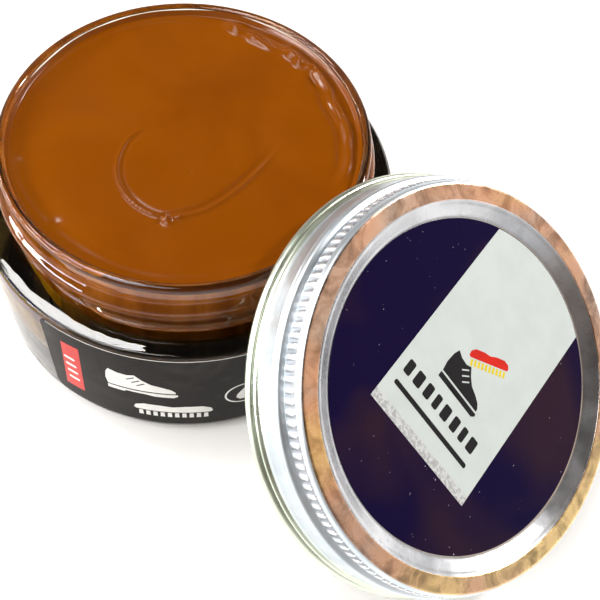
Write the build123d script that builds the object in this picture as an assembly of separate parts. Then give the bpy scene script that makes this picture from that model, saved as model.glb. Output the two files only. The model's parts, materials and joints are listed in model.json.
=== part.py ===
from build123d import *
import os
from math import cos, pi, radians, sin

# An open jar of shoe cream with its screw lid leaning on it, in millimetres.
# The jar stands on z = 0 with its axis on Z; the lid leans on the jar's +X side.

# Glass jar
BODY_RADIUS = 31.7
BODY_TOP = 24.6  # where the straight wall ends and the shoulder's corner begins
SHOULDER_ROUND = 0.8
HEEL_ROUND = 3.0
NECK_RADIUS = 26.9
NECK_FILLET = 0.5
JAR_HEIGHT = 35.3
LIP_RADIUS = 27.15
LIP_BAND = 2.4  # height of the smooth band under the mouth
LIP_ROUND = 0.75
LIP_UNDERCUT = 0.3  # height of the slope under the band
BORE_RADIUS = 25.7
CAVITY_RADIUS = 26.2
CAVITY_FLOOR = 7.5
CAVITY_ROUND = 5.0
CAVITY_TOP = 22.0  # where the bore begins to narrow to the neck's
CAVITY_TAPER = 2.5  # height over which it narrows
PUSH_UP_RADIUS = 25.5
PUSH_UP_DEPTH = 1.1

# Thread: one continuous right-hand start, shared by the neck and the lid
PITCH = 4.23
JAR_THREAD_CREST = 28.05
JAR_THREAD_TOP = 32.1
JAR_THREAD_TURNS = 1.54
JAR_THREAD_TOP_ANGLE = 109.4
JAR_THREAD_ROOT_WIDTH = 2.0
JAR_THREAD_CREST_WIDTH = 0.9
JAR_THREAD_ROOT_DEPTH = 0.5  # how far the ridge's foot is sunk in the glass

# Cream
FILL_LEVEL = 33.9
CREAM_GAP = 0.02

# Wrap label on the body
LABEL_BOTTOM = 3.2
LABEL_TOP = 24.4
LABEL_THICKNESS = 0.12
LABEL_START = -86.5  # degrees round the jar, from +X
LABEL_SPAN = 300.0

# Lid, in its own frame: hem on z = 0, axis on Z, top face up
SHEET = 0.25
LID_HEIGHT = 9.65
HEM_RADIUS = 29.75
HEM_TUBE = 0.675
SKIRT_RADIUS = 28.65
SKIRT_TOP = 6.2
KNURL_ROOT_RADIUS = 27.65
KNURL_CREST_RADIUS = 27.98
KNURL_BOTTOM = 6.45
KNURL_TOP = 8.85
KNURL_COUNT = 130
KNURL_TOOTH_FOOT = 0.60  # a tooth's width at its foot and at its crest, as shares of a pitch
KNURL_TOOTH_CREST = 0.30
CROWN_RADIUS = 26.75  # outer edge of the flat ring on top
CROWN_INNER_RADIUS = 24.85
CROWN_EDGE_RADIUS = 27.3  # the crown's edge falls away from here to the knurl
CROWN_EDGE_DROP = 0.25
PANEL_RADIUS = 22.75
PANEL_TOP = 8.3
LID_THREAD_CREST = 27.45
LID_THREAD_START = 2.05
LID_THREAD_TURNS = 0.85
LID_THREAD_ROOT_WIDTH = 1.5
LID_THREAD_CREST_WIDTH = 0.6
LID_THREAD_ANGLE = 130.8
LID_THREAD_ROOT_DEPTH = 0.1

# Sealing disc inside the lid and sticker on top of it
LINER_RADIUS = 27.1
LINER_THICKNESS = 0.9
LINER_GAP = 0.02
STICKER_RADIUS = 22.45
STICKER_THICKNESS = 0.13

# How the lid leans: its axis rises from the table at this angle, pointing away from the jar
LID_AXIS_ELEVATION = 51.25
LID_REACH = 47.2  # jar's axis to the hem ring's centre, along X


def revolved(points):
    """A solid turned about Z from a closed outline of (radius, height) points."""
    face = make_face(Plane.XZ * Polyline(*points, close=True))
    return revolve(face, axis=Axis.Z)


def helical_ridge(radius, foot, crest, root_width, crest_width, turns, start_angle, start_height):
    """A thread ridge from foot to crest, both measured outward from radius, climbing right-handed."""
    path = Helix(pitch=PITCH, height=PITCH * turns, radius=radius)
    section_plane = Plane(origin=path @ 0, x_dir=(1, 0, 0), z_dir=path % 0)
    outline = [
        (foot, -root_width / 2),
        (crest, -crest_width / 2),
        (crest, crest_width / 2),
        (foot, root_width / 2),
    ]
    section = section_plane * make_face(Polyline(*outline, close=True))
    ridge = sweep(section, path=path, is_frenet=True)
    return Pos(0, 0, start_height) * Rot(0, 0, start_angle) * ridge


def arc_points(centre_radius, centre_height, radius, start, end, steps=8):
    """Points round a small arc of a revolved outline, angles in degrees."""
    angles = [radians(start + (end - start) * i / steps) for i in range(steps + 1)]
    return [(centre_radius + radius * cos(a), centre_height + radius * sin(a)) for a in angles]


def make_jar():
    """The glass jar with its neck, rolled lip and outside thread."""
    shoulder = BODY_TOP + SHOULDER_ROUND
    lip_bottom = JAR_HEIGHT - LIP_BAND
    outside = (
        [(0, PUSH_UP_DEPTH), (PUSH_UP_RADIUS - PUSH_UP_DEPTH, PUSH_UP_DEPTH), (PUSH_UP_RADIUS, 0)]
        + arc_points(BODY_RADIUS - HEEL_ROUND, HEEL_ROUND, HEEL_ROUND, -90, 0)
        + arc_points(BODY_RADIUS - SHOULDER_ROUND, BODY_TOP, SHOULDER_ROUND, 0, 90)
        + arc_points(NECK_RADIUS + NECK_FILLET, shoulder + NECK_FILLET, NECK_FILLET, 270, 180, 4)
        + [(NECK_RADIUS, lip_bottom - LIP_UNDERCUT), (LIP_RADIUS, lip_bottom)]
        + arc_points(LIP_RADIUS - LIP_ROUND, JAR_HEIGHT - LIP_ROUND, LIP_ROUND, 0, 90)
        + arc_points(BORE_RADIUS + LIP_ROUND, JAR_HEIGHT - LIP_ROUND, LIP_ROUND, 90, 180)
    )
    jar = revolved(outside + cavity_outline(0)[::-1])
    ridge = helical_ridge(
        NECK_RADIUS,
        -JAR_THREAD_ROOT_DEPTH,
        JAR_THREAD_CREST - NECK_RADIUS,
        JAR_THREAD_ROOT_WIDTH,
        JAR_THREAD_CREST_WIDTH,
        JAR_THREAD_TURNS,
        JAR_THREAD_TOP_ANGLE - 360 * JAR_THREAD_TURNS,
        JAR_THREAD_TOP - PITCH * JAR_THREAD_TURNS,
    )
    return jar + ridge


def cavity_outline(inset):
    """The inside of the jar from the floor's middle up to the neck, drawn inset by a gap."""
    wall = CAVITY_RADIUS - inset
    floor = CAVITY_FLOOR + inset
    corner = arc_points(wall - CAVITY_ROUND, floor + CAVITY_ROUND, CAVITY_ROUND, -90, 0)
    neck_in = [(wall, CAVITY_TOP), (BORE_RADIUS - inset, CAVITY_TOP + CAVITY_TAPER)]
    return [(0, floor)] + corner + neck_in


def make_cream():
    """The cream, filling the jar to just under its mouth."""
    top = [(BORE_RADIUS - CREAM_GAP, FILL_LEVEL), (0, FILL_LEVEL)]
    return revolved(cavity_outline(CREAM_GAP) + top)


def make_wrap_label():
    """A strip bent round the body, open at the back where its ends don't meet."""
    outer = BODY_RADIUS + LABEL_THICKNESS
    section = Polyline(
        (BODY_RADIUS, LABEL_BOTTOM),
        (outer, LABEL_BOTTOM),
        (outer, LABEL_TOP),
        (BODY_RADIUS, LABEL_TOP),
        close=True,
    )
    strip = revolve(make_face(Plane.XZ * section), axis=Axis.Z, revolution_arc=LABEL_SPAN)
    return Rot(0, 0, LABEL_START) * strip


def make_shell():
    """The pressed sheet-metal shell: curled hem, wall, knurl, crown ring and sunk panel."""
    crown = [
        (0, PANEL_TOP),
        (PANEL_RADIUS, PANEL_TOP),
        (CROWN_INNER_RADIUS, LID_HEIGHT),
        (CROWN_RADIUS, LID_HEIGHT),
        (CROWN_EDGE_RADIUS, LID_HEIGHT - CROWN_EDGE_DROP),
    ]
    wall = [
        (KNURL_ROOT_RADIUS, KNURL_TOP),
        (KNURL_ROOT_RADIUS, KNURL_BOTTOM),
        (SKIRT_RADIUS, SKIRT_TOP),
        (SKIRT_RADIUS, 2 * HEM_TUBE),
    ]
    hem = arc_points(HEM_RADIUS - HEM_TUBE, HEM_TUBE, HEM_TUBE, 90, -180, 16)
    inside = [
        (SKIRT_RADIUS - SHEET, HEM_TUBE),
        (SKIRT_RADIUS - SHEET, SKIRT_TOP - SHEET),
        (KNURL_ROOT_RADIUS - SHEET, KNURL_BOTTOM - SHEET),
        (KNURL_ROOT_RADIUS - SHEET, KNURL_TOP - SHEET),
        (CROWN_RADIUS, LID_HEIGHT - SHEET),
        (CROWN_INNER_RADIUS + SHEET, LID_HEIGHT - SHEET),
        (PANEL_RADIUS + SHEET, PANEL_TOP - SHEET),
        (0, PANEL_TOP - SHEET),
    ]
    shell = revolved(crown + wall + hem + inside)
    knurl = make_knurl()
    ridge = helical_ridge(
        SKIRT_RADIUS - SHEET,
        LID_THREAD_ROOT_DEPTH,
        LID_THREAD_CREST - (SKIRT_RADIUS - SHEET),
        LID_THREAD_ROOT_WIDTH,
        LID_THREAD_CREST_WIDTH,
        LID_THREAD_TURNS,
        LID_THREAD_ANGLE,
        LID_THREAD_START,
    )
    return shell + knurl + ridge


def make_knurl():
    """Grip teeth round the lid's upper wall."""
    step = 2 * pi / KNURL_COUNT
    corners = []
    for tooth in range(KNURL_COUNT):
        for offset, radius in (
            (-KNURL_TOOTH_FOOT / 2, KNURL_ROOT_RADIUS),
            (-KNURL_TOOTH_CREST / 2, KNURL_CREST_RADIUS),
            (KNURL_TOOTH_CREST / 2, KNURL_CREST_RADIUS),
            (KNURL_TOOTH_FOOT / 2, KNURL_ROOT_RADIUS),
        ):
            angle = (tooth + offset) * step
            corners.append((radius * cos(angle), radius * sin(angle)))
    teeth = extrude(make_face(Polyline(*corners, close=True)), KNURL_TOP - KNURL_BOTTOM)
    hollow = Cylinder(
        KNURL_ROOT_RADIUS - SHEET / 2, LID_HEIGHT, align=(Align.CENTER, Align.CENTER, Align.CENTER)
    )
    return Pos(0, 0, KNURL_BOTTOM) * (teeth - hollow)


def make_liner():
    """The sealing disc pressed into the lid's top."""
    disc = Cylinder(LINER_RADIUS, LINER_THICKNESS, align=(Align.CENTER, Align.CENTER, Align.MAX))
    return Pos(0, 0, PANEL_TOP - SHEET - LINER_GAP) * disc


def make_sticker():
    """The round label on the lid's sunk panel."""
    disc = Cylinder(STICKER_RADIUS, STICKER_THICKNESS, align=(Align.CENTER, Align.CENTER, Align.MIN))
    return Pos(0, 0, PANEL_TOP) * disc


def leaning(part):
    """Puts a lid part from the lid's own frame onto the jar's side."""
    hem_centre_height = (HEM_RADIUS - HEM_TUBE) * cos(radians(LID_AXIS_ELEVATION)) + HEM_TUBE
    lean = Pos(LID_REACH, 0, hem_centre_height) * Rot(0, 90 - LID_AXIS_ELEVATION, 0)
    return lean * Pos(0, 0, -HEM_TUBE) * part


parts = {
    "glass_jar": make_jar(),
    "shoe_cream": make_cream(),
    "wrap_label": make_wrap_label(),
    "lid_shell": leaning(make_shell()),
    "lid_liner": leaning(make_liner()),
    "lid_sticker": leaning(make_sticker()),
}

os.makedirs("parts", exist_ok=True)
for name, part in parts.items():
    export_step(part, f"parts/{name}.step")
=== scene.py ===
import json
import math

import bmesh
import bpy
import numpy as np
from mathutils import Matrix, Vector


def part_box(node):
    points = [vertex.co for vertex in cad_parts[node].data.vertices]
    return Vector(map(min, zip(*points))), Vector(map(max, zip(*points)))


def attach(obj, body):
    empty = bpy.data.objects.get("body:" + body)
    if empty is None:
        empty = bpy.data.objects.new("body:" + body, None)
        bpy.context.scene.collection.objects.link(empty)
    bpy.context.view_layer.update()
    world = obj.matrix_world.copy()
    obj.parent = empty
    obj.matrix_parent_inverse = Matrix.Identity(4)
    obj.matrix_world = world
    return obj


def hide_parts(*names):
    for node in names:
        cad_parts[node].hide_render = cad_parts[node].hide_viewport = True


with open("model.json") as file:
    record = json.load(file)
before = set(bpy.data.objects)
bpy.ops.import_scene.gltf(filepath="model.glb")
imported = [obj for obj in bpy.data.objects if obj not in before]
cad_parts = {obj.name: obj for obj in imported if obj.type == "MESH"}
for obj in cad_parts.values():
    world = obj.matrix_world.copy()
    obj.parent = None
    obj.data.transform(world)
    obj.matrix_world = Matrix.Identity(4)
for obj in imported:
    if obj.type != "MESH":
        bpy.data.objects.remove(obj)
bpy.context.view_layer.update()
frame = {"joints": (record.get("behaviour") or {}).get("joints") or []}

# An open jar of shoe cream with its metal screw lid leaning on it. Profiles and outlines are in millimetres.
MM = 0.001

# ---------------------------------------------------------------- sizes from the frame
JAR_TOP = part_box("glass_jar")[1] / MM
CREAM_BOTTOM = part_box("shoe_cream")[0] / MM
CREAM_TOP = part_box("shoe_cream")[1] / MM
LABEL_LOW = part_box("wrap_label")[0] / MM
LABEL_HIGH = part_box("wrap_label")[1] / MM
LID_JOINT = next(joint for joint in frame["joints"] if joint["name"] == "lid_turn")
LID_AXIS = Vector(LID_JOINT["axis"]).normalized()

# ---------------------------------------------------------------- jar
BODY_RADIUS = JAR_TOP.x
JAR_HEIGHT = JAR_TOP.z
BODY_TOP = 24.6
SHOULDER_ROUND = 0.8
SHOULDER_DOME = 0.3  # how much the moulded shoulder falls from the neck to its corner
SHOULDER_CORNER_END = 78  # the corner's arc stops here, in degrees, and the dome takes over
DOME_POINTS = 8
FOOT_ROUND = 0.5  # fillet between the shoulder and the neck
FOOT_END = 0.6  # how far from the neck's foot that fillet has run out
HEEL_ROUND = 3.0
NECK_RADIUS = 26.9
LIP_RADIUS = 27.15
LIP_BAND = 2.4
LIP_ROUND = 0.75
BORE_RADIUS = 25.7
CAVITY_RADIUS = 26.2
CAVITY_FLOOR = CREAM_BOTTOM.z
CAVITY_ROUND = 5.0
CAVITY_TOP = 22.0
CAVITY_TAPER = 2.5
BODY_CREAM_TOP = CAVITY_TOP - 4.5  # below it the cream is seen through the body and takes the brighter painted-light copy; above it, through the neck, the darker painted-shade copy
PUSH_UP_RADIUS = 25.5
PUSH_UP_DEPTH = 1.1

PITCH = 4.23
JAR_THREAD_HEIGHT = 1.15
JAR_THREAD_HALF_WIDTH = 1.25
JAR_THREAD_TOP = 32.1
JAR_THREAD_TOP_ANGLE = 109.4
JAR_THREAD_TURNS = 1.54
JAR_THREAD_FADE = 0.05  # the part of a turn over which each end of the thread runs out

FILL_LEVEL = CREAM_TOP.z
CREAM_OVERLAP = 0.04  # the cream wets the glass, so its skin lies a hair inside the glass

LABEL_START = -86.5
LABEL_SPAN = 300.0
LABEL_CORNER = 1.6
LABEL_THICKNESS = 0.12
LABEL_FILM = LABEL_THICKNESS - 0.03
LABEL_OUTER = BODY_RADIUS + LABEL_FILM
LABEL_EDGE_WIDTH = 0.22

# ---------------------------------------------------------------- lid, hem on its local z = 0
SHEET = 0.25
LID_HEIGHT = 9.65
HEM_RADIUS = 29.75
HEM_TUBE = 0.675
HEM_TOP = 2.35  # below it the skirt's flare, bead and roll have the hem's tone
SEAM_RADIUS = 29.12  # the dark line where the sheet rolls in under the bead
SEAM_HEIGHTS = (1.38, 1.56)
SKIRT_RADIUS = 28.65
KNURL_ROOT = 27.62
KNURL_DEPTH = 0.40
KNURL_BOTTOM = 6.45
KNURL_TOP = 8.85
KNURL_COUNT = 130
KNURL_SINK = 0.1  # how far the ring of grip teeth is sunk into the shell's wall
CROWN_RADIUS = 26.75
CROWN_INNER = 24.85
PANEL_RADIUS = 22.75
PANEL_TOP = 8.3
LID_THREAD_DEPTH = 0.95
LID_THREAD_HALF_WIDTH = 0.95
LID_THREAD_START = 2.05
LID_THREAD_ANGLE = 130.8
LID_THREAD_TURNS = 0.85
LID_THREAD_FADE = 0.06
LID_THREAD_ZONE = (1.2, 6.0)  # the heights between which the inner wall carries the thread
LINER_RADIUS = 27.1
LINER_TOP = PANEL_TOP - SHEET - 0.02
LINER_BOTTOM = LINER_TOP - 0.9
STICKER_RADIUS = 22.45
STICKER_TOP = PANEL_TOP + 0.13
INK = 0.012  # how far a printed shape stands over what it is printed on

# ---------------------------------------------------------------- fineness of the turned meshes
JAR_SEGMENTS = 288
CREAM_SEGMENTS = 480
SHELL_SEGMENTS = 480
TOOTH_SEGMENTS = 8
LINER_SEGMENTS = 192
STICKER_SEGMENTS = 256


# ---------------------------------------------------------------- small tools
def smooth(value):
    """0 to 1 with soft ends, for values or arrays."""
    value = np.clip(value, 0.0, 1.0)
    return value * value * (3.0 - 2.0 * value)


def arc(centre_r, centre_z, radius, start, end, steps):
    """Points of an arc in a turned profile, angles in degrees."""
    turns = [math.radians(start + (end - start) * i / steps) for i in range(steps + 1)]
    return [(centre_r + radius * math.cos(a), centre_z + radius * math.sin(a)) for a in turns]


def line(r0, z0, r1, z1, steps):
    """Points along a straight stretch of a turned profile, without its last one."""
    return [(r0 + (r1 - r0) * i / steps, z0 + (z1 - z0) * i / steps) for i in range(steps)]


def new_object(name, mesh, materials, sharp=38.0):
    """A smooth-shaded object with its faces turned outward."""
    work = bmesh.new()
    work.from_mesh(mesh)
    bmesh.ops.recalc_face_normals(work, faces=work.faces)
    work.to_mesh(mesh)
    work.free()
    mesh.shade_smooth()
    mesh.set_sharp_from_angle(angle=math.radians(sharp))
    for material in materials:
        mesh.materials.append(material)
    obj = bpy.data.objects.new(name, mesh)
    bpy.context.scene.collection.objects.link(obj)
    return obj


def turned(name, profile, segments, materials, shape=None, zone=None, sharp=38.0):
    """A solid turned about local Z from (radius, height) points in mm.

    shape(i, angles, radius, height) gives the radii and heights round ring i.
    zone(radius, height) gives the material index of the stretch whose middle is there.
    """
    angles = np.linspace(0.0, 2.0 * math.pi, segments, endpoint=False)
    cosines = np.cos(angles)
    sines = np.sin(angles)
    verts = []
    rings = []
    for i, (radius, height) in enumerate(profile):
        if radius < 1e-6:
            rings.append([len(verts)])
            verts.append((0.0, 0.0, height * MM))
            continue
        radii = np.full(segments, radius)
        heights = np.full(segments, height)
        if shape:
            radii, heights = shape(i, angles, radii, heights)
        rings.append(list(range(len(verts), len(verts) + segments)))
        verts.extend(zip(radii * cosines * MM, radii * sines * MM, heights * MM))
    stretches = list(zip(range(len(profile) - 1), range(1, len(profile))))
    if profile[0][0] > 1e-6 and profile[-1][0] > 1e-6:
        stretches.append((len(profile) - 1, 0))
    faces = []
    slots = []
    for low, high in stretches:
        slot = 0
        if zone:
            middle_r = (profile[low][0] + profile[high][0]) / 2.0
            middle_z = (profile[low][1] + profile[high][1]) / 2.0
            slot = zone(middle_r, middle_z)
        faces.extend(joined_rings(rings[low], rings[high], segments))
        slots.extend([slot] * segments)
    mesh = bpy.data.meshes.new(name)
    mesh.from_pydata(verts, [], faces)
    mesh.polygons.foreach_set("material_index", slots)
    return new_object(name, mesh, materials, sharp)


def joined_rings(low, high, segments):
    """Faces between two rings of a turned mesh, either of which may be a single point."""
    faces = []
    for i in range(segments):
        j = (i + 1) % segments
        if len(low) == 1:
            faces.append((low[0], high[j], high[i]))
        elif len(high) == 1:
            faces.append((low[i], low[j], high[0]))
        else:
            faces.append((low[i], low[j], high[j], high[i]))
    return faces


def on_lid(obj, body="lid"):
    """Puts a piece made in the lid's own frame where the lid leans, and lets it ride there."""
    x_axis = Vector((LID_AXIS.z, 0.0, -LID_AXIS.x))
    y_axis = LID_AXIS.cross(x_axis)
    hem = Vector(LID_JOINT["pos_m"]) - LID_AXIS * HEM_TUBE * MM
    place = Matrix((x_axis, y_axis, LID_AXIS)).transposed().to_4x4()
    place.translation = hem
    obj.data.transform(place)
    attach(obj, body)
    return obj


def helix_ridge(angles, height, start_angle, start_height, turns, half_width, fade):
    """How far a thread stands up, 0 to 1, at each angle of a ring at this height."""
    start = math.radians(start_angle)
    rise = np.zeros_like(angles)
    for lap in range(-2, 4):
        turned_by = (angles - start) / (2.0 * math.pi) + lap
        inside = (turned_by >= 0.0) & (turned_by <= turns)
        centre = start_height + PITCH * turned_by
        away = np.abs(height - centre) / half_width
        ends = smooth(turned_by / fade) * smooth((turns - turned_by) / fade)
        bump = np.where(away < 1.0, np.cos(away * math.pi / 2.0) ** 1.3, 0.0)
        rise = np.maximum(rise, np.where(inside, bump * ends, 0.0))
    return rise


# ---------------------------------------------------------------- materials
def principled(name, colour, roughness, metallic=0.0, **sockets):
    """A material with its shader's own sockets set; returns it with its node tree and shader."""
    material = bpy.data.materials.new(name)
    material.use_nodes = True
    tree = material.node_tree
    shader = tree.nodes["Principled BSDF"]
    shader.inputs["Base Color"].default_value = (*colour, 1.0)
    shader.inputs["Roughness"].default_value = roughness
    shader.inputs["Metallic"].default_value = metallic
    for socket, value in sockets.items():
        shader.inputs[socket.replace("_", " ")].default_value = value
    return material, tree, shader


def noise(tree, scale, detail=3.0, stretch=(1.0, 1.0, 1.0), distortion=0.0, rough=0.5):
    """A noise texture in the object's own coordinates; scale is in features per metre."""
    coordinates = tree.nodes.new("ShaderNodeTexCoord")
    mapping = tree.nodes.new("ShaderNodeMapping")
    mapping.inputs["Scale"].default_value = stretch
    tree.links.new(coordinates.outputs["Object"], mapping.inputs["Vector"])
    texture = tree.nodes.new("ShaderNodeTexNoise")
    texture.inputs["Scale"].default_value = scale
    texture.inputs["Detail"].default_value = detail
    texture.inputs["Roughness"].default_value = rough
    texture.inputs["Distortion"].default_value = distortion
    tree.links.new(mapping.outputs["Vector"], texture.inputs["Vector"])
    return texture.outputs["Fac"]


def ramp(tree, value, *stops):
    """Colours at places along a value: each stop is (place, (r, g, b))."""
    node = tree.nodes.new("ShaderNodeValToRGB")
    elements = node.color_ramp.elements
    while len(elements) < len(stops):
        elements.new(0.5)
    for element, (place, colour) in zip(elements, stops):
        element.position = place
        element.color = (*colour, 1.0)
    tree.links.new(value, node.inputs["Fac"])
    return node.outputs["Color"]


def added(tree, first, second, blend="ADD"):
    """Two colours laid over each other."""
    node = tree.nodes.new("ShaderNodeMix")
    node.data_type = "RGBA"
    node.blend_type = blend
    node.inputs["Factor"].default_value = 1.0
    tree.links.new(first, node.inputs["A"])
    tree.links.new(second, node.inputs["B"])
    return node.outputs["Result"]


def span(tree, value, low, high):
    """Maps a 0 to 1 value on to low to high."""
    node = tree.nodes.new("ShaderNodeMapRange")
    node.inputs["From Min"].default_value = 0.3
    node.inputs["From Max"].default_value = 0.7
    node.inputs["To Min"].default_value = low
    node.inputs["To Max"].default_value = high
    tree.links.new(value, node.inputs["Value"])
    return node.outputs["Result"]


def bump(tree, shader, value, strength, depth_mm):
    """Adds a relief of that depth to a shader, on top of any it has."""
    node = tree.nodes.new("ShaderNodeBump")
    node.inputs["Strength"].default_value = strength
    node.inputs["Distance"].default_value = depth_mm * MM
    tree.links.new(value, node.inputs["Height"])
    normal = shader.inputs["Normal"]
    if normal.links:
        tree.links.new(normal.links[0].from_socket, node.inputs["Normal"])
    tree.links.new(node.outputs["Normal"], normal)


def glass_material():
    """Clear, slightly wavy glass whose thickness tints it yellow-brown."""
    material, tree, shader = principled(
        "jar_glass", (0.97, 0.97, 0.94), 0.012, Transmission_Weight=1.0, IOR=1.5
    )
    depth = tree.nodes.new("ShaderNodeVolumeAbsorption")
    depth.inputs["Color"].default_value = (0.50, 0.43, 0.15, 1.0)
    depth.inputs["Density"].default_value = 210.0
    tree.links.new(depth.outputs["Volume"], tree.nodes["Material Output"].inputs["Volume"])
    bump(tree, shader, noise(tree, 140.0, 2.0, stretch=(1.0, 1.0, 1.6)), 0.45, 0.28)
    return material


def cream_material():
    """The cream's open top: soft drifts of tone and gloss."""
    material, tree, shader = principled(
        "cream", (0.180, 0.046, 0.0), 0.2, Specular_IOR_Level=0.2, Coat_Weight=0.06, Coat_Roughness=0.05
    )
    tone = noise(tree, 55.0, 4.0, distortion=0.6)
    colour = ramp(tree, tone, (0.30, (0.145, 0.033, 0.0)), (0.70, (0.180, 0.045, 0.0)))
    tree.links.new(colour, shader.inputs["Base Color"])
    tree.links.new(span(tree, noise(tree, 90.0), 0.15, 0.27), shader.inputs["Roughness"])
    bump(tree, shader, noise(tree, 160.0, 3.0, stretch=(1.0, 0.45, 1.0)), 0.25, 0.12)
    return material


def cream_side_material(name, dark, middle, light):
    """The cream where it lies behind glass, streaked by how it ran down the wall; each copy's overall
    brightness is painted light or painted shade for how much light reaches that part.
    """
    material, tree, shader = principled(name, middle, 0.5, Specular_IOR_Level=0.0)
    streaks = noise(tree, 230.0, 4.0, stretch=(1.0, 1.0, 0.14), distortion=0.5)
    colour = ramp(tree, streaks, (0.32, dark), (0.52, middle), (0.72, light))
    tree.links.new(colour, shader.inputs["Base Color"])
    return material


def label_material():
    """Near-black film with faint grey haze that is a painted reflection; the same noise varies its roughness.
    """
    material, tree, shader = principled("label_film", (0.012, 0.008, 0.006), 0.22, Specular_IOR_Level=0.05)
    # The grey patches in the colour are a painted reflection haze.
    painted_reflection = noise(tree, 75.0, 4.0, distortion=0.8)
    colour = ramp(tree, painted_reflection, (0.54, (0.005, 0.003, 0.002)), (0.82, (0.050, 0.045, 0.042)))
    tree.links.new(colour, shader.inputs["Base Color"])
    tree.links.new(span(tree, painted_reflection, 0.18, 0.42), shader.inputs["Roughness"])
    return material


def printed(name, colour, roughness=0.32, evenness=0.86):
    """Printing ink with a slight unevenness."""
    material, tree, shader = principled(name, colour, roughness, Specular_IOR_Level=0.15)
    dark = tuple(evenness * part for part in colour)
    uneven = ramp(tree, noise(tree, 260.0, 5.0), (0.35, dark), (0.6, colour))
    tree.links.new(uneven, shader.inputs["Base Color"])
    return material


def metal_material(name, light, dark, roughness, mottle=120.0, speck=0.2):
    """Bright tinplate: its tone drifts softly and its surface has a fine orange peel."""
    material, tree, shader = principled(name, light, roughness[0], metallic=1.0)
    tone = noise(tree, mottle, 4.0, distortion=0.5)
    tree.links.new(ramp(tree, tone, (0.36, dark), (0.62, light)), shader.inputs["Base Color"])
    tree.links.new(span(tree, noise(tree, mottle * 1.7, 5.0), *roughness), shader.inputs["Roughness"])
    bump(tree, shader, noise(tree, 900.0, 3.0), speck, 0.03)
    bump(tree, shader, noise(tree, 110.0, 2.0), speck, 0.12)
    return material


def crown_material():
    """The crown ring's metal: warm stains that drift from grey through copper to gold."""
    material, tree, shader = principled("tinplate_crown", (0.80, 0.58, 0.44), 0.24, metallic=1.0)
    drift = noise(tree, 42.0, 3.0, distortion=0.6)
    wide = ramp(
        tree, drift, (0.34, (0.62, 0.54, 0.50)), (0.48, (0.84, 0.52, 0.36)), (0.64, (1.0, 0.74, 0.36))
    )
    stain = noise(tree, 260.0, 5.0, distortion=0.7, rough=0.6)
    close = ramp(tree, stain, (0.36, (0.52, 0.50, 0.50)), (0.56, (1.0, 1.0, 1.0)))
    tree.links.new(added(tree, wide, close, "MULTIPLY"), shader.inputs["Base Color"])
    tree.links.new(span(tree, stain, 0.16, 0.34), shader.inputs["Roughness"])
    bump(tree, shader, noise(tree, 240.0, 4.0), 0.5, 0.10)
    return material


def sticker_material():
    """Dark navy paper with a brown drift that is a painted sheen, and a few pale specks."""
    material, tree, shader = principled(
        "sticker", (0.006, 0.003, 0.030), 0.26, Specular_IOR_Level=0.06
    )
    # The brown drift in the colour is a painted sheen of a warm reflection.
    drift = noise(tree, 38.0, 2.0, distortion=0.5)
    painted_reflection = ramp(tree, drift, (0.46, (0.0045, 0.0020, 0.026)), (0.66, (0.022, 0.009, 0.020)))
    dust = noise(tree, 1500.0, 2.0, rough=0.7)
    specks = ramp(tree, dust, (0.735, (0.0, 0.0, 0.0)), (0.775, (0.35, 0.36, 0.40)))
    tree.links.new(added(tree, painted_reflection, specks), shader.inputs["Base Color"])
    bump(tree, shader, noise(tree, 420.0, 3.0), 0.15, 0.05)
    return material


def hatched_material():
    """Grey stripe with a fine grain."""
    material, tree, shader = principled("stripe_grey", (0.42, 0.43, 0.44), 0.4)
    grain = noise(tree, 2600.0, 1.0, stretch=(1.0, 1.0, 0.3))
    colour = ramp(tree, grain, (0.40, (0.33, 0.34, 0.35)), (0.60, (0.52, 0.54, 0.55)))
    tree.links.new(colour, shader.inputs["Base Color"])
    return material


def floor_material():
    """A plain pale floor."""
    return principled("floor_white", (0.88, 0.88, 0.88), 0.7)[0]


GLASS = glass_material()
CREAM = cream_material()
# Cream seen through the bare body glass: its streaks are tone, its bright gold level is painted light.
CREAM_SIDE_PAINTED_LIGHT = cream_side_material(
    "cream_in_body_painted_light", dark=(0.42, 0.19, 0.006), middle=(1.0, 0.58, 0.02), light=(1.0, 0.72, 0.06)
)
# Cream behind the label: its streaks are tone, its dark level is painted shade.
CREAM_PAINTED_SHADE_UNDER_LABEL = cream_side_material(
    "cream_painted_shade_under_label", dark=(0.24, 0.13, 0.012), middle=(0.42, 0.23, 0.02), light=(0.60, 0.34, 0.03)
)
# Cream seen through the neck: its streaks are tone, its darker red-brown level is painted shade.
CREAM_NECK_PAINTED_SHADE = cream_side_material(
    "cream_in_neck_painted_shade", dark=(0.34, 0.09, 0.006), middle=(0.60, 0.18, 0.012), light=(0.80, 0.28, 0.03)
)
LABEL = label_material()
LABEL_EDGE = printed("label_edge", (0.62, 0.60, 0.54))
RED_INK = printed("red_ink", (0.55, 0.020, 0.012))
WHITE_INK = printed("white_ink", (0.80, 0.80, 0.77))
BLACK_INK = printed("black_ink", (0.012, 0.012, 0.014))
YELLOW_INK = printed("yellow_ink", (0.62, 0.50, 0.02))
BAND_INK = printed("band_ink", (0.51, 0.56, 0.555), 0.3, 0.95)
STRIPE_INK = hatched_material()
TIN = metal_material(
    "tinplate", light=(0.70, 0.76, 0.81), dark=(0.58, 0.65, 0.71), roughness=(0.34, 0.46), speck=0.12
)
TIN_CROWN = crown_material()
TIN_SLOPE = metal_material(
    "tinplate_slope", light=(0.64, 0.66, 0.70), dark=(0.48, 0.50, 0.53), roughness=(0.22, 0.32),
    mottle=150.0, speck=0.30
)
TIN_HEM = metal_material(
    "tinplate_hem", light=(0.76, 0.82, 0.70), dark=(0.62, 0.70, 0.58), roughness=(0.24, 0.38), speck=0.12
)
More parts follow.
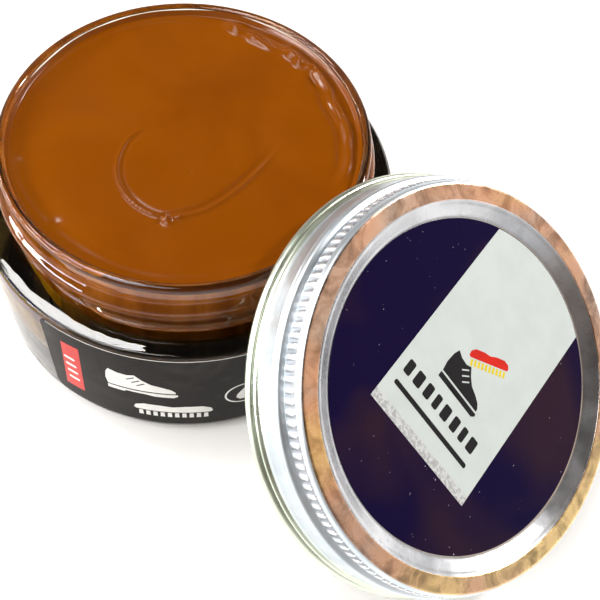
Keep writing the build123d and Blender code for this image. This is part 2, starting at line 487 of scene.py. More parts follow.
TIN_KNURL = metal_material(
    "tinplate_knurl", light=(0.86, 0.87, 0.88), dark=(0.76, 0.78, 0.80), roughness=(0.34, 0.44), speck=0.03
)
# The darker tin between the grip teeth is painted shade.
TIN_GAP_PAINTED_SHADE = metal_material(
    "tinplate_gap_painted_shade", light=(0.42, 0.44, 0.47), dark=(0.32, 0.34, 0.37), roughness=(0.45, 0.60), speck=0.03
)
SEAM = principled("seam_shadow", (0.05, 0.055, 0.05), 0.5)[0]
LINER = printed("liner_board", (0.78, 0.76, 0.69), 0.6)
FLOOR = floor_material()


# ---------------------------------------------------------------- jar
def cavity_profile(grow):
    """The jar's inside from the floor's middle up to the neck, grown into the glass by a little."""
    wall = CAVITY_RADIUS + grow
    floor = CAVITY_FLOOR - grow
    neck = (BORE_RADIUS + grow, CAVITY_TOP + CAVITY_TAPER)
    corner = arc(wall - CAVITY_ROUND, floor + CAVITY_ROUND, CAVITY_ROUND, -90, 0, 14)
    taper = line(wall, CAVITY_TOP, *neck, 4)
    return [(0.0, floor)] + corner + [(wall, BODY_CREAM_TOP)] + taper + [neck]


def base_profile():
    """The underside with its push-up, and the round heel."""
    base = [(0.0, PUSH_UP_DEPTH), (PUSH_UP_RADIUS - 2.0, PUSH_UP_DEPTH)]
    base += arc(PUSH_UP_RADIUS, -0.2, 1.2, 150, 100, 4)[1:3] + [(PUSH_UP_RADIUS + 0.4, 0.0)]
    return base + arc(BODY_RADIUS - HEEL_ROUND, HEEL_ROUND, HEEL_ROUND, -90, 0, 16)


def shoulder_profile(shoulder):
    """The body's corner, the domed shoulder and the fillet at the neck's foot."""
    corner_radius = BODY_RADIUS - SHOULDER_ROUND
    corner = arc(corner_radius, BODY_TOP - SHOULDER_DOME, SHOULDER_ROUND, 0, SHOULDER_CORNER_END, 11)
    dome_width = corner_radius - NECK_RADIUS - FOOT_END
    dome = []
    for i in range(DOME_POINTS):
        outward = 1.0 - i / DOME_POINTS
        dome.append((NECK_RADIUS + FOOT_END + outward * dome_width, shoulder - SHOULDER_DOME * outward**2))
    return corner + dome + arc(NECK_RADIUS + FOOT_ROUND, shoulder + FOOT_ROUND, FOOT_ROUND, 270, 180, 5)


def lip_profile(lip_bottom):
    """The step under the lip, its band, and its round top down to the bore."""
    round_height = JAR_HEIGHT - LIP_ROUND
    step = [(NECK_RADIUS, lip_bottom - 0.4), (NECK_RADIUS + 0.06, lip_bottom - 0.2), (LIP_RADIUS, lip_bottom)]
    band = line(LIP_RADIUS, lip_bottom + 0.1, LIP_RADIUS, round_height - 0.1, 4)
    outer = arc(LIP_RADIUS - LIP_ROUND, round_height, LIP_ROUND, 0, 90, 10)
    inner = arc(BORE_RADIUS + LIP_ROUND, round_height, LIP_ROUND, 90, 180, 10)
    return step + band + outer + inner


def make_jar():
    shoulder = BODY_TOP + SHOULDER_ROUND
    lip_bottom = JAR_HEIGHT - LIP_BAND
    body = base_profile() + shoulder_profile(shoulder)
    neck = line(NECK_RADIUS, shoulder + FOOT_END, NECK_RADIUS, lip_bottom - 0.5, 48)
    outside = body + neck + lip_profile(lip_bottom)
    profile = outside + cavity_profile(0.0)[::-1]
    first_neck = len(body)
    last_neck = first_neck + len(neck)
    start_angle = JAR_THREAD_TOP_ANGLE - 360.0 * JAR_THREAD_TURNS
    start_height = JAR_THREAD_TOP - PITCH * JAR_THREAD_TURNS

    def thread(i, angles, radii, heights):
        if first_neck <= i < last_neck:
            ridge = helix_ridge(
                angles, heights[0], start_angle, start_height, JAR_THREAD_TURNS, JAR_THREAD_HALF_WIDTH,
                JAR_THREAD_FADE
            )
            radii = radii + JAR_THREAD_HEIGHT * ridge
        return radii, heights

    jar = turned("glass_jar_body", profile, JAR_SEGMENTS, [GLASS], shape=thread, sharp=60.0)
    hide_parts("glass_jar")
    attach(jar, "jar")
    return jar


# ---------------------------------------------------------------- cream
def curve_through(points, steps=12):
    """Points along a smooth curve through a few given ones (Catmull-Rom)."""
    padded = [points[0]] + list(points) + [points[-1]]
    result = []
    for p0, p1, p2, p3 in zip(padded, padded[1:], padded[2:], padded[3:]):
        p0, p1, p2, p3 = (np.array(p, float) for p in (p0, p1, p2, p3))
        for i in range(steps):
            t = i / steps
            bend = (2 * p0 - 5 * p1 + 4 * p2 - p3) * t**2
            twist = (3 * p1 - p0 - 3 * p2 + p3) * t**3
            result.append(0.5 * (2 * p1 + (p2 - p0) * t + bend + twist))
    result.append(np.array(points[-1], float))
    return np.array(result)


def along_curve(x, y, points):
    """For each place: signed distance from the curve in mm, and how far along it, 0 to 1."""
    curve = curve_through(points)
    best = np.full(x.shape, 1e9)
    side = np.zeros(x.shape)
    along = np.zeros(x.shape)
    for i in range(len(curve) - 1):
        a, b = curve[i], curve[i + 1]
        run = b - a
        length = float(run @ run) + 1e-12
        t = np.clip(((x - a[0]) * run[0] + (y - a[1]) * run[1]) / length, 0.0, 1.0)
        dx = x - a[0] - t * run[0]
        dy = y - a[1] - t * run[1]
        distance = np.hypot(dx, dy)
        nearer = distance < best
        best = np.where(nearer, distance, best)
        side = np.where(nearer, np.sign(run[0] * dy - run[1] * dx), side)
        along = np.where(nearer, (i + t) / (len(curve) - 1), along)
    return best * np.where(side == 0, 1.0, side), along


# Marks in the cream's top, placed in mm from the jar's axis.
SWIRL = [(-5.5, -2.6), (-5.7, -6.0), (-3.9, -9.8), (-1.2, -12.3), (2.3, -13.5), (5.6, -13.4), (8.5, -12.3)]
SWIRL_TAIL = [(8.5, -12.3), (9.9, -10.2), (11.3, -7.4), (12.0, -2.8), (11.9, 3.7), (11.3, 8.6)]
RIM_SMEAR = [(-12.0, 21.6), (-9.0, 21.5), (-5.8, 21.9), (-2.6, 22.2), (0.6, 23.2), (3.2, 22.9), (6.2, 23.0)]
RIM_RIDGE = [
    (6.2, 23.0), (9.2, 21.6), (11.5, 19.8), (14.0, 18.6),
    (16.0, 17.4), (18.6, 14.8), (21.0, 11.4), (22.2, 7.0)
]
# Blobs are (x, y, size, height) and dimples (x, y, size, depth).
BLOBS = [
    (-9.4, 21.6, 1.3, 0.55), (-6.3, 22.0, 1.0, 0.45), (0.4, 23.4, 1.1, 0.6), (2.6, 22.6, 0.8, 0.5),
    (4.6, 23.4, 0.9, 0.45), (8.6, -12.4, 0.75, 0.55), (9.5, -10.9, 0.5, 0.25), (-14.3, -18.6, 0.8, 0.18)
]
DIMPLES = [(-2.1, -23.2, 0.8, 0.25), (5.2, -4.4, 0.35, 0.08), (6.8, 21.0, 1.3, 0.2)]
CLIMB_WIDTH = 0.55  # how far from the glass the cream starts to climb it
CLIMB_HEIGHT = 0.78
RING_RADIUS = 23.9  # a faint ring that filling left near the wall


def hump(distance, middle, width):
    """A rounded ridge across a signed distance: 1 at its middle."""
    return np.exp(-(((distance - middle) / width) ** 2))


def spot(x, y, middle_x, middle_y, size):
    """A rounded blob: 1 at its middle."""
    return np.exp(-(((x - middle_x) ** 2 + (y - middle_y) ** 2) / size**2))


def swirl_height(x, y):
    """The ridge left by the last stroke, with the groove beside it, and the ridge that runs on from it."""
    distance, along = along_curve(x, y, SWIRL)
    rise = 0.09 + 0.36 * smooth(along / 0.85)
    start = smooth(along / 0.12)
    height = start * rise * hump(distance, 0.0, 0.24) - start * 0.14 * hump(distance, 0.62, 0.42)
    distance, along = along_curve(x, y, SWIRL_TAIL)
    fade = smooth((1.0 - along) / 0.35)
    return height + fade * 0.30 * hump(distance, 0.0, 0.30) - fade * 0.30 * hump(distance, 0.72, 0.5)


def smear_height(x, y):
    """The lumpy smear near the far rim and the ridge that it turns into."""
    distance, along = along_curve(x, y, RIM_SMEAR)
    wavy = 1.0 + 0.5 * np.sin(along * 19.0)
    height = 0.34 * wavy * smooth(along / 0.1) * hump(distance, 0.0, 0.8)
    distance, along = along_curve(x, y, RIM_RIDGE)
    fade = smooth((1.0 - along) / 0.25)
    ridge = 0.42 + 0.12 * np.sin(along * 23.0)
    return height + fade * ridge * hump(distance, 0.0, 0.55) - fade * 0.30 * hump(distance, -1.15, 0.7)


def wall_height(radius, angle):
    """The faint ring near the wall, and the cream's uneven climb up the glass."""
    ring = RING_RADIUS + 0.5 * np.sin(2.0 * angle + 0.8) + 0.25 * np.sin(5.0 * angle)
    height = 0.03 * hump(radius, ring, 0.5) - 0.04 * hump(radius, ring + 0.8, 0.5)
    uneven = 0.16 * np.sin(3.0 * angle + 1.0) + 0.08 * np.sin(7.0 * angle) + 0.06 * np.sin(13.0 * angle)
    near_wall = (radius - (BORE_RADIUS - CLIMB_WIDTH)) / CLIMB_WIDTH
    return height + (CLIMB_HEIGHT + uneven) * smooth(near_wall) ** 2


def cream_height(x, y):
    """The cream's top over its fill level, in mm."""
    radius = np.hypot(x, y)
    height = -0.10 + 0.10 * (radius / BORE_RADIUS) ** 2
    height += 0.05 * np.sin(0.35 * x + 0.6) * np.cos(0.27 * y - 0.4) + 0.02 * np.sin(0.9 * x - 0.5 * y)
    height += swirl_height(x, y) + smear_height(x, y)
    for blob_x, blob_y, size, rise in BLOBS:
        height += rise * spot(x, y, blob_x, blob_y, size)
    for dimple_x, dimple_y, size, depth in DIMPLES:
        height -= depth * spot(x, y, dimple_x, dimple_y, size)
    return height + wall_height(radius, np.arctan2(y, x))


def make_cream():
    wall = BORE_RADIUS + CREAM_OVERLAP
    side = cavity_profile(CREAM_OVERLAP)
    side += [(wall, CAVITY_TOP + CAVITY_TAPER + 0.5), (wall, FILL_LEVEL - 0.6)]
    near_wall = np.linspace(wall, 20.0, 36)
    inner = np.linspace(19.8, 0.4, 104)
    profile = side + [(radius, FILL_LEVEL) for radius in np.concatenate([near_wall, inner])]
    profile.append((0.0, FILL_LEVEL - 0.1))
    first_top = len(side)
    materials = [CREAM, CREAM_SIDE_PAINTED_LIGHT, CREAM_NECK_PAINTED_SHADE, CREAM_PAINTED_SHADE_UNDER_LABEL]

    def top(i, angles, radii, heights):
        if i >= first_top:
            heights = heights + cream_height(radii * np.cos(angles), radii * np.sin(angles))
        return radii, heights

    def zone(radius, height):
        # The sides get lit and shaded copies of the cream: brighter painted light through the body, darker
        # painted shade through the neck.
        if height < BODY_CREAM_TOP:
            return materials.index(CREAM_SIDE_PAINTED_LIGHT)
        return materials.index(CREAM_NECK_PAINTED_SHADE if height < FILL_LEVEL - 0.3 else CREAM)

    cream = turned("cream_fill", profile, CREAM_SEGMENTS, materials, shape=top, zone=zone, sharp=70.0)
    shade_under_label(cream, materials.index(CREAM_SIDE_PAINTED_LIGHT), materials.index(CREAM_PAINTED_SHADE_UNDER_LABEL))
    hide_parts("shoe_cream")
    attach(cream, "jar")
    return cream


def shade_under_label(cream, bare_slot, painted_shade_slot):
    """Gives the cream behind the label its darker material, painted shade for the light that the label keeps
    off, up to a slightly wavy edge.

    The angles are in degrees; the gap is the bare glass between the label's two ends.
    """
    into_end = 4.0
    past_start = 3.0
    waviness = 3.0
    gap_start = LABEL_START + LABEL_SPAN - 360.0 - into_end
    gap_end = LABEL_START - past_start
    for face in cream.data.polygons:
        middle = face.center
        wave = waviness * math.sin(middle.z / MM * 0.6)
        angle = math.degrees(math.atan2(middle.y, middle.x)) + wave
        if face.material_index == bare_slot and not gap_start < angle < gap_end:
            face.material_index = painted_shade_slot


# ---------------------------------------------------------------- flat and wrapped printing
def polygon_mesh(name, outline, spacing=None):
    """A flat filled outline in mm; with spacing, cut into strips so that it can be bent."""
    work = bmesh.new()
    corners = [work.verts.new((x, y, 0.0)) for x, y in outline]
    work.faces.new(corners)
    if spacing:
        xs = [x for x, y in outline]
        place = min(xs) + spacing
        while place < max(xs):
            geometry = work.verts[:] + work.edges[:] + work.faces[:]
            bmesh.ops.bisect_plane(work, geom=geometry, plane_co=(place, 0, 0), plane_no=(1, 0, 0))
            place += spacing
    bmesh.ops.triangulate(work, faces=[f for f in work.faces if len(f.verts) > 4])
    mesh = bpy.data.meshes.new(name)
    work.to_mesh(mesh)
    work.free()
    return mesh


def thickened(mesh, depth):
    """Gives a flat mesh a back and sides, so that it is a closed shape."""
    work = bmesh.new()
    work.from_mesh(mesh)
    bmesh.ops.recalc_face_normals(work, faces=work.faces)
    if sum(face.normal.z * face.calc_area() for face in work.faces) < 0:
        bmesh.ops.reverse_faces(work, faces=work.faces)
    made = bmesh.ops.extrude_face_region(work, geom=work.faces[:])
    moved = [v for v in made["geom"] if isinstance(v, bmesh.types.BMVert)]
    for vert in moved:
        vert.co.z += depth
    work.to_mesh(mesh)
    work.free()


def rounded_box(x0, y0, x1, y1, radius, steps=5):
    """Outline of a rectangle with rounded corners."""
    left, right = x0 + radius, x1 - radius
    low, high = y0 + radius, y1 - radius
    corners = [(right, low, -90), (right, high, 0), (left, high, 90), (left, low, 180)]
    return [point for cx, cy, turn in corners for point in arc(cx, cy, radius, turn, turn + 90, steps)]


def circle_outline(x, y, radius, steps=32):
    """A closed circle without its repeated last point."""
    return arc(x, y, radius, 0, 360, steps)[:-1]


def turned_outline(outline, angle, x, y, scale=1.0):
    """An outline turned by degrees, scaled and moved."""
    cosine = math.cos(math.radians(angle))
    sine = math.sin(math.radians(angle))
    return [
        (x + scale * (cosine * px - sine * py), y + scale * (sine * px + cosine * py))
        for px, py in outline
    ]


def joined(name, outlines, spacing, depth):
    """One mesh of several filled outlines, each a closed thin plate."""
    work = bmesh.new()
    for outline in outlines:
        mesh = polygon_mesh(name, outline, spacing)
        thickened(mesh, depth)
        work.from_mesh(mesh)
        bpy.data.meshes.remove(mesh)
    mesh = bpy.data.meshes.new(name)
    work.to_mesh(mesh)
    work.free()
    return mesh


def wrapped(name, outlines, material, radius, depth=INK):
    """Plates bent round the jar: an outline's x is the arc length from the label's start, y the height."""
    mesh = joined(name, outlines, 0.8, depth)
    start = math.radians(LABEL_START)
    for vert in mesh.vertices:
        angle = start + vert.co.x / BODY_RADIUS
        out = radius + vert.co.z
        vert.co = Vector((out * math.cos(angle) * MM, out * math.sin(angle) * MM, vert.co.y * MM))
    piece = new_object(name, mesh, [material])
    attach(piece, "jar")
    return piece


def on_sticker(name, outlines, material, level, depth=INK):
    """Plates on the lid's label, in the lid's own x and y."""
    mesh = joined(name, outlines, None, depth)
    for vert in mesh.vertices:
        vert.co = Vector((vert.co.x * MM, vert.co.y * MM, (level + vert.co.z) * MM))
    piece = new_object(name, mesh, [material])
    on_lid(piece)
    return piece


def shoe_parts():
    """Side view of a plain laced shoe, toe to the right, 12 wide and 7 high: upper and sole."""
    upper = [
        (0.3, 1.5), (0.0, 3.4), (0.2, 5.6), (0.7, 6.9), (2.2, 6.3), (3.8, 6.2), (5.0, 6.7),
        (6.2, 5.3), (7.6, 4.2), (9.4, 3.6), (10.8, 2.9), (11.5, 2.1), (11.5, 1.5)
    ]
    sole = [
        (0.2, 0.0), (3.0, 0.0), (3.3, 0.5), (6.6, 0.4), (8.0, 0.0),
        (11.2, 0.0), (11.9, 0.6), (11.8, 1.1), (0.2, 1.1)
    ]
    return [upper, sole]


def lace_outlines():
    """Short bars across the shoe's instep."""
    bar = rounded_box(-0.9, -0.14, 0.9, 0.14, 0.13, 3)
    return [turned_outline(bar, 40, x, y) for x, y in ((4.3, 5.3), (5.1, 4.5), (5.9, 3.7))]


def brush_parts():
    """Side view of a shoe brush, 12 wide: its back, and a row of tufts under it."""
    back = [
        (0.0, 2.2), (0.3, 3.2), (1.6, 3.9), (4.2, 3.9), (6.0, 3.6), (7.8, 3.9), (10.4, 3.9), (11.7, 3.2),
        (12.0, 2.2), (11.6, 1.8), (0.4, 1.8)
    ]
    tuft = [(0.7, 0.0), (1.4, 0.0), (1.35, 1.5), (0.75, 1.5)]
    tufts = [[(x + 1.1 * i, y) for x, y in tuft] for i in range(10)]
    return back, tufts


def make_label():
    """The wrap label and its printing; x runs along the label from its start, y up the jar."""
    length = math.radians(LABEL_SPAN) * BODY_RADIUS
    low = LABEL_LOW.z
    high = LABEL_HIGH.z
    film = rounded_box(0, low, length, high, LABEL_CORNER)
    body = wrapped("wrap_label_film", [film], LABEL, BODY_RADIUS, LABEL_FILM)
    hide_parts("wrap_label")
    edge = rounded_box(1.2, high - LABEL_EDGE_WIDTH, length - 1.2, high, LABEL_EDGE_WIDTH / 2.1)
    wrapped("label_top_edge", [edge], LABEL_EDGE, LABEL_OUTER)
    patch = [(3.4, high - 3.6), (6.4, high - 3.4), (5.7, low + 3.4), (2.3, low + 3.2)]
    wrapped("label_patch", [patch], RED_INK, LABEL_OUTER)
    patch_marks = [rounded_box(3.3, z, 5.2, z + 0.7, 0.3) for z in (9.4, 11.6, 13.8, 16.0)]
    wrapped("label_patch_marks", patch_marks, WHITE_INK, LABEL_OUTER + INK)
    label_pictures()
    label_round_mark()
    rules = [
        rounded_box(42.0, z, 62.0 - (i % 3) * 3.0, z + 0.35, 0.17)
        for i, z in enumerate(range(6, 20, 2))
    ]
    wrapped("label_rules", rules, WHITE_INK, LABEL_OUTER)


def label_pictures():
    """The white shoe with its laces, and the brush below it."""
    shoe_place = (0, 10.2, 12.6, 0.9)
    brush_place = (0, 14.0, 5.6, 1.0)
    back, tufts = brush_parts()
    shoe = [turned_outline(outline, *shoe_place) for outline in shoe_parts()]
    brush = [turned_outline(outline, *brush_place) for outline in [back] + tufts]
    wrapped("label_marks", shoe + brush, WHITE_INK, LABEL_OUTER)
    laces = [turned_outline(outline, *shoe_place) for outline in lace_outlines()]
    wrapped("label_mark_laces", laces, BLACK_INK, LABEL_OUTER + INK)


def label_round_mark():
    """A ring with a drop in it."""
    x = 30.8
    y = 12.0
    wrapped("label_round_mark", [circle_outline(x, y, 3.1)], WHITE_INK, LABEL_OUTER, INK / 2)
    wrapped("label_round_mark_inside", [circle_outline(x, y, 2.8)], LABEL, LABEL_OUTER + INK / 4)
    drop = [(0.0, 2.0), (-1.2, -0.2), (-1.3, -1.1), (-0.7, -1.9), (0.7, -1.9), (1.3, -1.1), (1.2, -0.2)]
    wrapped("label_drop", [turned_outline(drop, 0, x, y)], WHITE_INK, LABEL_OUTER + INK)


# ---------------------------------------------------------------- lid
def shell_profile():
    """The shell's outline: over the top and down the outside, round the hem, and back up inside."""
    crown = [(radius, PANEL_TOP) for radius in (0.0, 8.0, 16.0, 22.3)] + [(22.6, PANEL_TOP + 0.02)]
    crown += line(PANEL_RADIUS + 0.05, PANEL_TOP + 0.10, CROWN_INNER - 0.25, LID_HEIGHT - 0.10, 7)
    crown += arc(CROWN_INNER + 0.12, LID_HEIGHT - 0.24, 0.24, 150, 90, 5)
    crown += line(CROWN_INNER + 0.5, LID_HEIGHT - 0.03, CROWN_RADIUS - 0.1, LID_HEIGHT - 0.02, 4)
    crown += arc(CROWN_RADIUS + 0.02, LID_HEIGHT - 0.75, 0.73, 90, 15, 8)
    crown += [(KNURL_ROOT - 0.02, KNURL_TOP - 0.02)]
    knurl = [(KNURL_ROOT, KNURL_TOP - 0.2), (KNURL_ROOT, KNURL_BOTTOM)]
    wall = [(KNURL_ROOT + 0.12, KNURL_BOTTOM - 0.06), (27.95, 6.32), (28.3, 6.26), (28.55, 6.12)]
    wall += [(28.65, 5.85), (28.66, 5.55), (28.58, 5.42), (28.66, 5.29)]
    wall += line(28.66, 5.0, 28.68, 2.5, 6) + [(28.74, 2.3), (28.86, 2.2)]
    bead = [(29.1, 2.12), (29.24, 1.96), (29.27, 1.78), (29.2, 1.62), (29.05, 1.52), (28.98, 1.44)]
    hem = arc(HEM_RADIUS - HEM_TUBE, HEM_TUBE, HEM_TUBE, 84, -175, 22)
    inner = SKIRT_RADIUS - SHEET
    inside = [(inner, HEM_TUBE), (inner, 1.2)] + line(inner, 1.4, inner, 5.9, 26)
    inside += [(inner - 0.1, 6.0), (KNURL_ROOT - SHEET, 6.25), (KNURL_ROOT - SHEET, KNURL_TOP - 0.3)]
    inside += [(CROWN_RADIUS, LID_HEIGHT - SHEET - 0.02), (CROWN_INNER + 0.25, LID_HEIGHT - SHEET - 0.02)]
    inside += [(PANEL_RADIUS + 0.25, PANEL_TOP - SHEET), (0.0, PANEL_TOP - SHEET)]
    return crown, knurl, wall + bead, hem, inside


def make_shell():
    """The pressed sheet with its rolled hem; the grip teeth are a piece of their own."""
    crown, knurl, wall, hem, inside = shell_profile()
    first_inside = len(crown + knurl + wall + hem)
    materials = [TIN, TIN_CROWN, TIN_SLOPE, TIN_HEM, SEAM]

    def shape(i, angles, radii, heights):
        if i >= first_inside and LID_THREAD_ZONE[0] < heights[0] < LID_THREAD_ZONE[1]:
            ridge = helix_ridge(
                angles, heights[0], LID_THREAD_ANGLE, LID_THREAD_START, LID_THREAD_TURNS,
                LID_THREAD_HALF_WIDTH, LID_THREAD_FADE
            )
            radii = radii - LID_THREAD_DEPTH * ridge
        return radii, heights

    def zone(radius, height):
        if radius > CROWN_INNER - 0.05 and height > LID_HEIGHT - 0.12:
            return materials.index(TIN_CROWN)
        if PANEL_RADIUS - 0.6 < radius <= CROWN_INNER - 0.05 and height > PANEL_TOP:
            return materials.index(TIN_SLOPE)
        if radius > SKIRT_RADIUS and height < HEM_TOP:
            in_seam = radius < SEAM_RADIUS and SEAM_HEIGHTS[0] < height < SEAM_HEIGHTS[1]
            return materials.index(SEAM if in_seam else TIN_HEM)
        return materials.index(TIN)

    profile = crown + knurl + wall + hem + inside
    shell = turned("lid_shell_metal", profile, SHELL_SEGMENTS, materials, shape=shape, zone=zone, sharp=50.0)
    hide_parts("lid_shell")
    on_lid(shell)
    return shell


def make_knurl():
    """The grip teeth, a thin ring sunk a little into the shell's wall, with darker gaps of painted shade."""
    inner = KNURL_ROOT - KNURL_SINK
    top = KNURL_TOP - 0.06
    bottom = KNURL_BOTTOM + 0.06
    face = line(KNURL_ROOT, top, KNURL_ROOT, bottom, 8) + [(KNURL_ROOT, bottom)]
    profile = [(inner, top + 0.02)] + face + [(inner, bottom - 0.02)]
    last_face = len(face)

    def shape(i, angles, radii, heights):
        if 1 <= i <= last_face:
            tooth = smooth(0.5 + 1.2 * np.cos(angles * KNURL_COUNT))
            bulge = math.sin(math.pi * (i - 1) / (last_face - 1)) ** 0.6
            radii = radii + 0.75 * KNURL_DEPTH * tooth * bulge
        return radii, heights

    segments = KNURL_COUNT * TOOTH_SEGMENTS
    ring = turned("lid_knurl", profile, segments, [TIN_KNURL, TIN_GAP_PAINTED_SHADE], shape=shape, sharp=70.0)
    # Faces down in the gaps get the darker painted-shade tin.
    gap_radius = (KNURL_ROOT + 0.2 * KNURL_DEPTH) * MM
    for face in ring.data.polygons:
        face.material_index = 1 if math.hypot(face.center.x, face.center.y) < gap_radius else 0
    on_lid(ring)
    return ring


def make_liner():
    """The sealing disc, with the ring that the jar's lip has pressed into it."""
    rim = 26.4
    bevel = 0.08
    profile = [(0.0, LINER_TOP), (LINER_RADIUS - bevel, LINER_TOP), (LINER_RADIUS, LINER_TOP - bevel)]
    profile += [(LINER_RADIUS, LINER_BOTTOM + bevel), (LINER_RADIUS - bevel, LINER_BOTTOM)]
    profile += arc(rim, LINER_BOTTOM - 0.55, 0.75, 40, 140, 8)[1:-1]
    profile += [(rim - 0.9, LINER_BOTTOM), (0.0, LINER_BOTTOM)]
    liner = turned("lid_liner_disc", profile, LINER_SEGMENTS, [LINER], sharp=60.0)
    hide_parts("lid_liner")
    on_lid(liner, "liner")
    return liner


# Places on the sticker, in mm across and along its white band.
BAND_TURN = 4.3  # degrees
BAND_LEFT = -10.7
BAND_RIGHT = 10.5
BAND_NEAR = -12.05
STRIPE_FAR = -10.65
SHOE_PLACE = (0, -4.6, -2.6, 0.72)  # turn, across, along, scale
BRUSH_PLACE = (28, -1.8, 2.0, 0.62)
BLOCK_START = -9.2
BLOCK_GAP = 0.8
BLOCK_WIDTHS = (1.3, 1.5, 1.3, 1.1, 1.5, 1.3, 1.1, 1.5)


def make_sticker():
    """The round label and all that is printed on it."""
    low = PANEL_TOP + 0.005
    profile = [(0.0, low), (STICKER_RADIUS, low), (STICKER_RADIUS, STICKER_TOP - 0.04)]
    profile += [(radius, STICKER_TOP) for radius in (STICKER_RADIUS - 0.05, 15.0, 7.0, 0.0)]
    disc = turned("sticker_disc", profile, STICKER_SEGMENTS, [sticker_material()])
    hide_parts("lid_sticker")
    on_lid(disc)
    on_sticker("sticker_band", [sticker_band()], BAND_INK, STICKER_TOP)
    stripe = [
        (BAND_LEFT, BAND_NEAR), (BAND_RIGHT, BAND_NEAR), (BAND_RIGHT, STRIPE_FAR), (BAND_LEFT, STRIPE_FAR)
    ]
    level = STICKER_TOP + INK
    print_on_band("sticker_stripe", [stripe], STRIPE_INK, level)
    print_on_band("sticker_rules", block_row() + [rounded_box(-9.2, -8.4, 7.4, -7.7, 0.3)], BLACK_INK, level)
    shoe = [turned_outline(outline, *SHOE_PLACE) for outline in shoe_parts()]
    print_on_band("sticker_shoe", shoe, BLACK_INK, level)
    laces = [turned_outline(outline, *SHOE_PLACE) for outline in lace_outlines()]
    print_on_band("sticker_laces", laces, BAND_INK, level + INK)
    back, tufts = brush_parts()
    print_on_band("sticker_brush", [turned_outline(back, *BRUSH_PLACE)], RED_INK, level)
    print_on_band("sticker_tufts", [turned_outline(tuft, *BRUSH_PLACE) for tuft in tufts], YELLOW_INK, level)


def block_row():
    """A row of plain upright blocks, some wider than others."""
    start = BLOCK_START
    row = []
    for width in BLOCK_WIDTHS:
        row.append(rounded_box(start, -6.3, start + width, -4.2, 0.3))
        start += width + BLOCK_GAP
    return row


def print_on_band(name, outlines, material, level):
    """Plates on the sticker from outlines drawn across and along the white band."""
    on_sticker(name, [[sticker_place(*point) for point in outline] for outline in outlines], material, level)


def sticker_place(across, along):
    """A place on the sticker from its distances across and along the white band."""
    turn = math.radians(BAND_TURN)
    return (
        across * math.cos(turn) - along * math.sin(turn),
        across * math.sin(turn) + along * math.cos(turn),
    )


def sticker_band():
    """The white band: square at one end, cut by the disc's edge at the other."""
    radius = STICKER_RADIUS - 0.12
    first = math.degrees(math.acos(BAND_RIGHT / radius))
    last = math.degrees(math.acos(BAND_LEFT / radius))
    outline = [(BAND_LEFT, BAND_NEAR), (BAND_RIGHT, BAND_NEAR)] + arc(0.0, 0.0, radius, first, last, 24)
    return [sticker_place(*point) for point in outline]


# ---------------------------------------------------------------- surroundings
# Camera: its angles are in degrees and its place in mm.
CAMERA_LENS = 54.2
CAMERA_SHIFT = (0.100, -0.058)
CAMERA_HEADING = 39.33
CAMERA_DOWN = 57.26
CAMERA_ROLL = 3.14
CAMERA_PLACE = (61.8, -61.2, 134.6)


def make_floor():
    """A pale table top."""
    bpy.ops.mesh.primitive_plane_add(size=3.0, location=(0.0, 0.0, 0.0))
    floor = bpy.context.object
    floor.name = "floor"
    floor.data.materials.append(FLOOR)


def area_light(name, toward, distance, size, power, colour):
    """A soft panel seen from the object in that direction."""
    light = bpy.data.lights.new(name, "AREA")
    light.shape = "RECTANGLE"
    light.size = size[0]
    light.size_y = size[1]
    light.energy = power
    light.color = colour
    obj = bpy.data.objects.new(name, light)
    target = Vector((0.015, 0.0, 0.02))
    obj.location = target + Vector(toward).normalized() * distance
    obj.rotation_mode = "QUATERNION"
    obj.rotation_quaternion = (target - obj.location).to_track_quat("-Z", "Y")
    bpy.context.scene.collection.objects.link(obj)
    return obj


def make_world():
    """A soft room: pale near the horizon, darker and warmer overhead."""
    world = bpy.data.worlds.new("studio")
    bpy.context.scene.world = world
    world.use_nodes = True
    tree = world.node_tree
    background = tree.nodes["Background"]
    coordinates = tree.nodes.new("ShaderNodeTexCoord")
    split = tree.nodes.new("ShaderNodeSeparateXYZ")
    tree.links.new(coordinates.outputs["Generated"], split.inputs["Vector"])
    colour = ramp(
        tree, split.outputs["Z"], (0.0, (0.85, 0.85, 0.85)), (0.18, (0.62, 0.60, 0.58)),
        (0.36, (0.30, 0.24, 0.20)), (0.62, (0.13, 0.10, 0.085)), (1.0, (0.07, 0.065, 0.06))
    )
    tree.links.new(colour, background.inputs["Color"])
    background.inputs["Strength"].default_value = 1.0


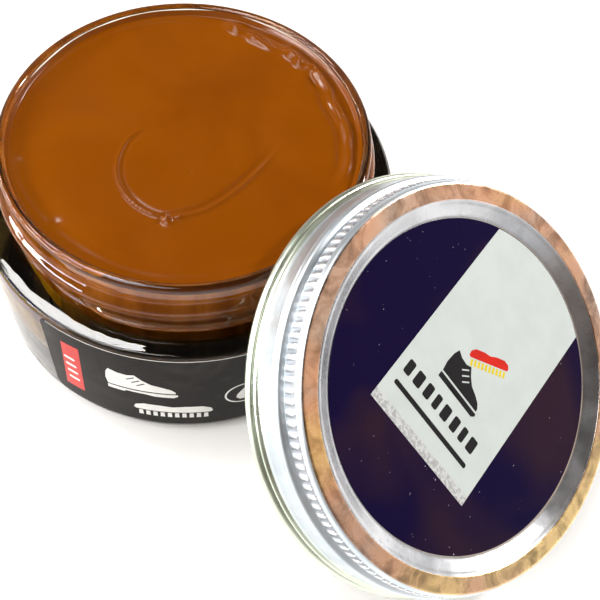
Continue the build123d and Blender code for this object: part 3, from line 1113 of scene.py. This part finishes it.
def make_camera():
    """The camera stands over the front of the lid's side and looks down on both pieces."""
    camera = bpy.data.cameras.new("camera")
    camera.lens = CAMERA_LENS
    camera.sensor_width = 36.0
    camera.shift_x = CAMERA_SHIFT[0]
    camera.shift_y = CAMERA_SHIFT[1]
    camera.clip_start = 0.01
    obj = bpy.data.objects.new("camera", camera)
    heading = math.radians(CAMERA_HEADING)
    down = math.radians(CAMERA_DOWN)
    roll = math.radians(CAMERA_ROLL)
    level = Vector((math.cos(heading), math.sin(heading), 0.0))
    back = Vector((math.sin(heading) * math.cos(down), -math.cos(heading) * math.cos(down), math.sin(down)))
    upright = back.cross(level)
    right = level * math.cos(roll) + upright * math.sin(roll)
    up = upright * math.cos(roll) - level * math.sin(roll)
    place = Matrix((right, up, back)).transposed().to_4x4()
    place.translation = Vector(CAMERA_PLACE) * MM
    obj.matrix_world = place
    bpy.context.scene.collection.objects.link(obj)
    bpy.context.scene.camera = obj


def make_lights():
    """Narrow windows for the streaks on glass and tin, one warm wall, and a broad panel overhead."""
    area_light(
        "window_front_left", toward=(-0.46, -0.80, 0.38), distance=0.55, size=(0.36, 0.05),
        power=2.0, colour=(1.0, 0.98, 0.95)
    )
    area_light(
        "window_left", toward=(-0.90, -0.40, 0.30), distance=0.55, size=(0.30, 0.05),
        power=1.7, colour=(1.0, 0.97, 0.95)
    )
    area_light(
        "window_high_left", toward=(-0.40, -0.07, 0.91), distance=0.60, size=(0.08, 0.28),
        power=1.5, colour=(1.0, 0.98, 0.96)
    )
    area_light(
        "warm_wall_right", toward=(0.75, 0.42, 0.52), distance=0.90, size=(0.50, 0.50),
        power=0.45, colour=(1.0, 0.74, 0.50)
    )
    area_light(
        "window_back_right", toward=(0.35, 0.85, 0.60), distance=0.60, size=(0.07, 0.10),
        power=3.2, colour=(1.0, 0.97, 0.93)
    )
    area_light(
        "overhead", toward=(-0.15, -0.5, 1.0), distance=0.80, size=(0.45, 0.42),
        power=4.0, colour=(1.0, 0.99, 0.97)
    )


make_camera()
make_world()
make_lights()
make_floor()
make_jar()
make_cream()
make_label()
make_shell()
make_knurl()
make_liner()
make_sticker()
bpy.context.scene.view_settings.view_transform = "Standard"
